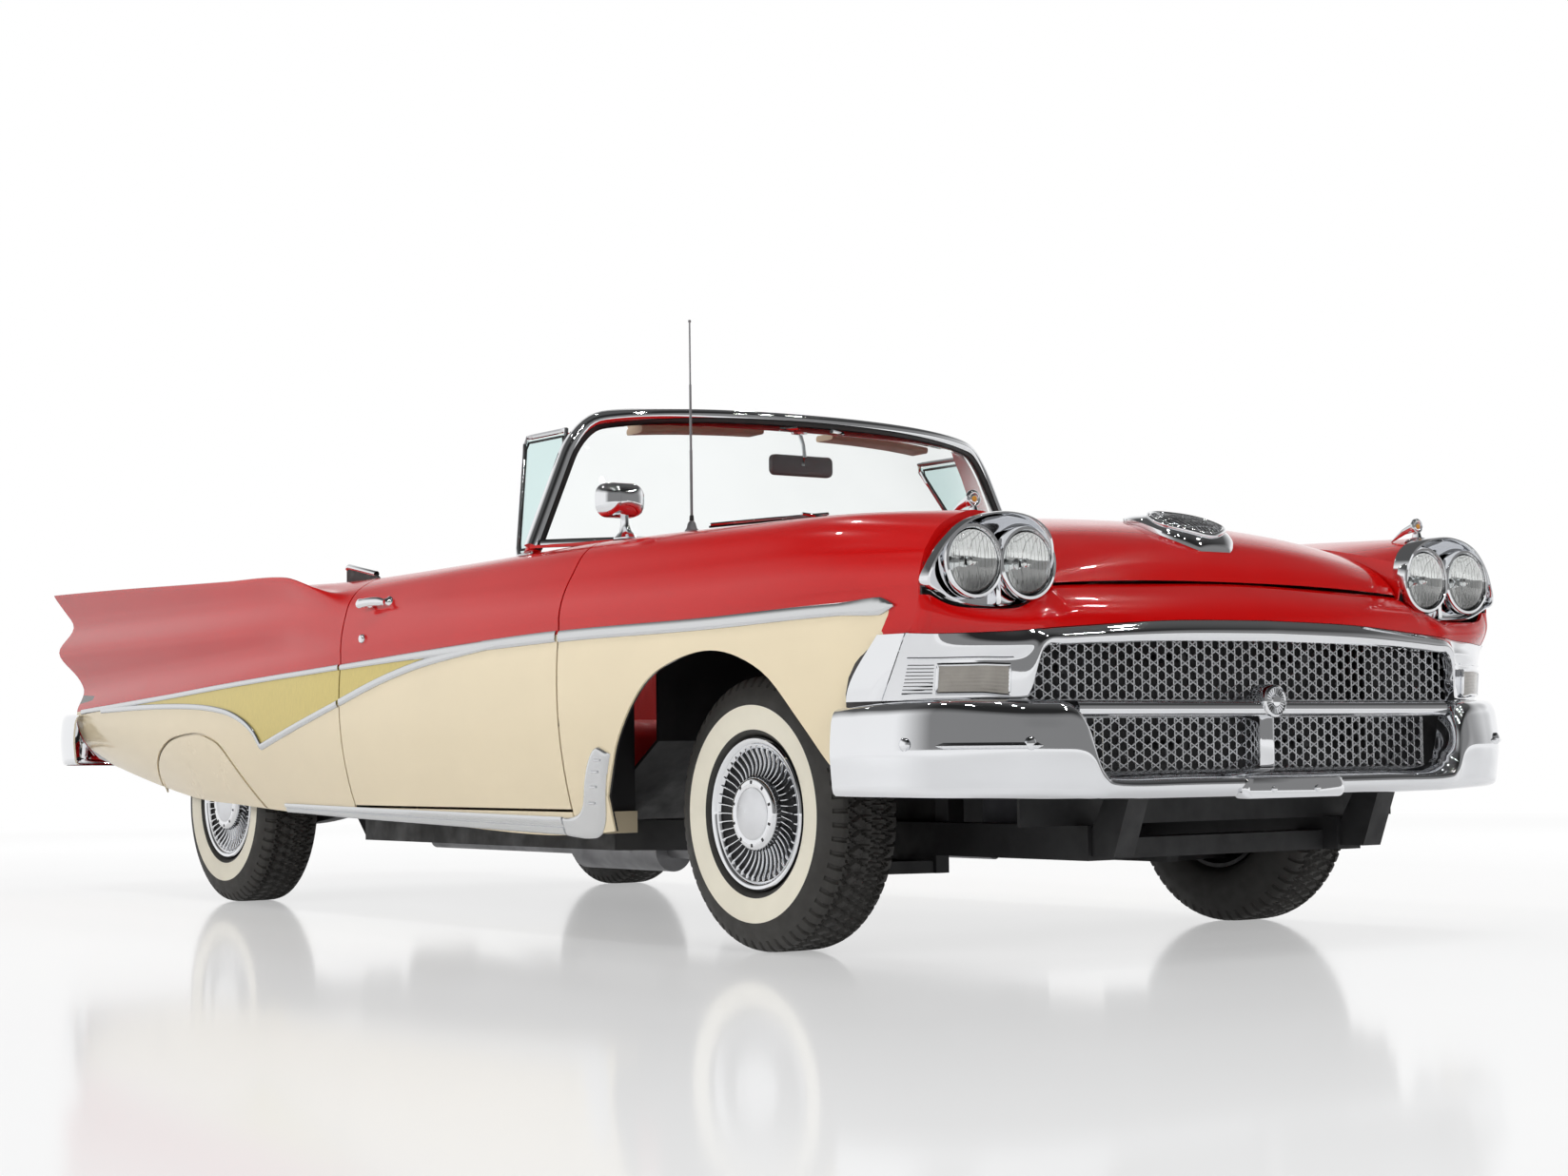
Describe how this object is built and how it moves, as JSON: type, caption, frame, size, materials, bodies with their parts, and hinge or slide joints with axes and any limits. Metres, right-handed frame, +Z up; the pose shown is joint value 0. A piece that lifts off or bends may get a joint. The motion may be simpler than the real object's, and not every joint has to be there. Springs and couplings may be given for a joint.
{
  "type": "two-door open car of the late 1950s",
  "caption": "Full-size two-door open car with tail fins, paired headlamps, a chrome grille, opening doors, hood and trunk lid, and steered front wheels.",
  "frame": {"origin": "on the road under the middle of the car's length and width", "axes": "+X to the nose, +Y to the car's left, +Z up"},
  "size_m": [5.2579, 1.9738, 1.5195],
  "materials": {
    "red_paint": "gloss",
    "cream_paint": "gloss",
    "chrome": "polished",
    "bright_mesh": "satin",
    "black_metal": "satin",
    "bare_steel": "satin",
    "iron": "matt",
    "glass": "clear",
    "lamp_clear": "clear",
    "lamp_red": "gloss",
    "upholstery": "satin",
    "cloth": "matt",
    "tyre": "matt"
  },
  "bodies": {
    "shell": {"frame_rails": "black_metal", "frame_crossmembers": "black_metal", "floor_pan": "black_metal", "cowl": "red_paint", "rocker_panels": "cream_paint", "inner_aprons": "black_metal", "fender_right": "red_paint", "fender_left": "red_paint", "front_panel": "red_paint", "grille_surround": "chrome", "grille_mesh": "bright_mesh", "grille_bar": "chrome", "front_bumper": "chrome", "headlamp_bezels": "chrome", "front_lamps": "lamp_clear", "windshield_frame": "chrome", "windshield_glass": "glass", "dashboard": "red_paint", "steering_column": "black_metal", "front_seat": "upholstery", "rear_seat": "upholstery", "top_boot": "cloth", "quarter_right": "red_paint", "quarter_left": "red_paint", "fender_skirts": "cream_paint", "rear_deck": "red_paint", "rear_wheelhouses": "black_metal", "body_posts": "red_paint", "radiator_support": "black_metal", "tail_panel": "red_paint", "tail_lamps": "lamp_red", "rear_bumper": "chrome", "engine": "iron", "driveline": "black_metal", "exhaust": "bare_steel", "fuel_tank": "bare_steel", "rear_axle": "black_metal", "leaf_springs": "black_metal", "control_arms": "black_metal", "antenna": "chrome", "door_mirror": "chrome"},
    "hood_unit": {"hood": "red_paint", "hood_scoop": "chrome"},
    "lid_unit": {"trunk_lid": "red_paint"},
    "door_unit_right": {"door_right": "red_paint", "vent_right": "chrome"},
    "door_unit_left": {"door_left": "red_paint", "vent_left": "chrome"},
    "steer_right": {"knuckle_right": "black_metal"},
    "steer_left": {"knuckle_left": "black_metal"},
    "roll_front_right": {"wheel_front_right": "bare_steel", "tyre_front_right": "tyre"},
    "roll_front_left": {"wheel_front_left": "bare_steel", "tyre_front_left": "tyre"},
    "roll_rear_right": {"wheel_rear_right": "bare_steel", "tyre_rear_right": "tyre"},
    "roll_rear_left": {"wheel_rear_left": "bare_steel", "tyre_rear_left": "tyre"},
    "steering_unit": {"steering_wheel": "cream_paint"}
  },
  "joints": [
    {"name": "hood_hinge", "type": "hinge", "parent": "shell", "child": "hood_unit", "pos_m": [2.489, 0, 0.8], "axis": [0, 1, 0], "range_deg": [0, 55]},
    {"name": "trunk_hinge", "type": "hinge", "parent": "shell", "child": "lid_unit", "pos_m": [-1.19, 0, 0.99], "axis": [0, 1, 0], "range_deg": [0, 60]},
    {"name": "door_hinge_right", "type": "hinge", "parent": "shell", "child": "door_unit_right", "pos_m": [1.044, -0.97, 0.6], "axis": [0, 0, 1], "range_deg": [0, 65]},
    {"name": "door_hinge_left", "type": "hinge", "parent": "shell", "child": "door_unit_left", "pos_m": [1.044, 0.97, 0.6], "axis": [0, 0, -1], "range_deg": [0, 65]},
    {"name": "steer_right", "type": "hinge", "parent": "shell", "child": "steer_right", "pos_m": [1.744, -0.6495, 0.32], "axis": [0, 0, 1], "range_deg": [-32, 32]},
    {"name": "steer_left", "type": "hinge", "parent": "shell", "child": "steer_left", "pos_m": [1.744, 0.6495, 0.32], "axis": [0, 0, 1], "range_deg": [-32, 32]},
    {"name": "steering_turn", "type": "hinge", "parent": "shell", "child": "steering_unit", "pos_m": [0.614, 0.39, 0.86], "axis": [-0.8829, 0, 0.4695], "range_deg": [-770, 770]},
    {"name": "roll_front_right", "type": "hinge", "parent": "steer_right", "child": "roll_front_right", "pos_m": [1.744, -0.7495, 0.32], "axis": [0, 1, 0], "continuous": true},
    {"name": "roll_front_left", "type": "hinge", "parent": "steer_left", "child": "roll_front_left", "pos_m": [1.744, 0.7495, 0.32], "axis": [0, 1, 0], "continuous": true},
    {"name": "roll_rear_right", "type": "hinge", "parent": "shell", "child": "roll_rear_right", "pos_m": [-1.253, -0.7165, 0.32], "axis": [0, 1, 0], "continuous": true},
    {"name": "roll_rear_left", "type": "hinge", "parent": "shell", "child": "roll_rear_left", "pos_m": [-1.253, 0.7165, 0.32], "axis": [0, 1, 0], "continuous": true}
  ],
  "couplings": [
    {"joint": "steer_left", "follows": "steer_right", "ratio": 1},
    {"joint": "steering_turn", "follows": "steer_right", "ratio": 24}
  ]
}
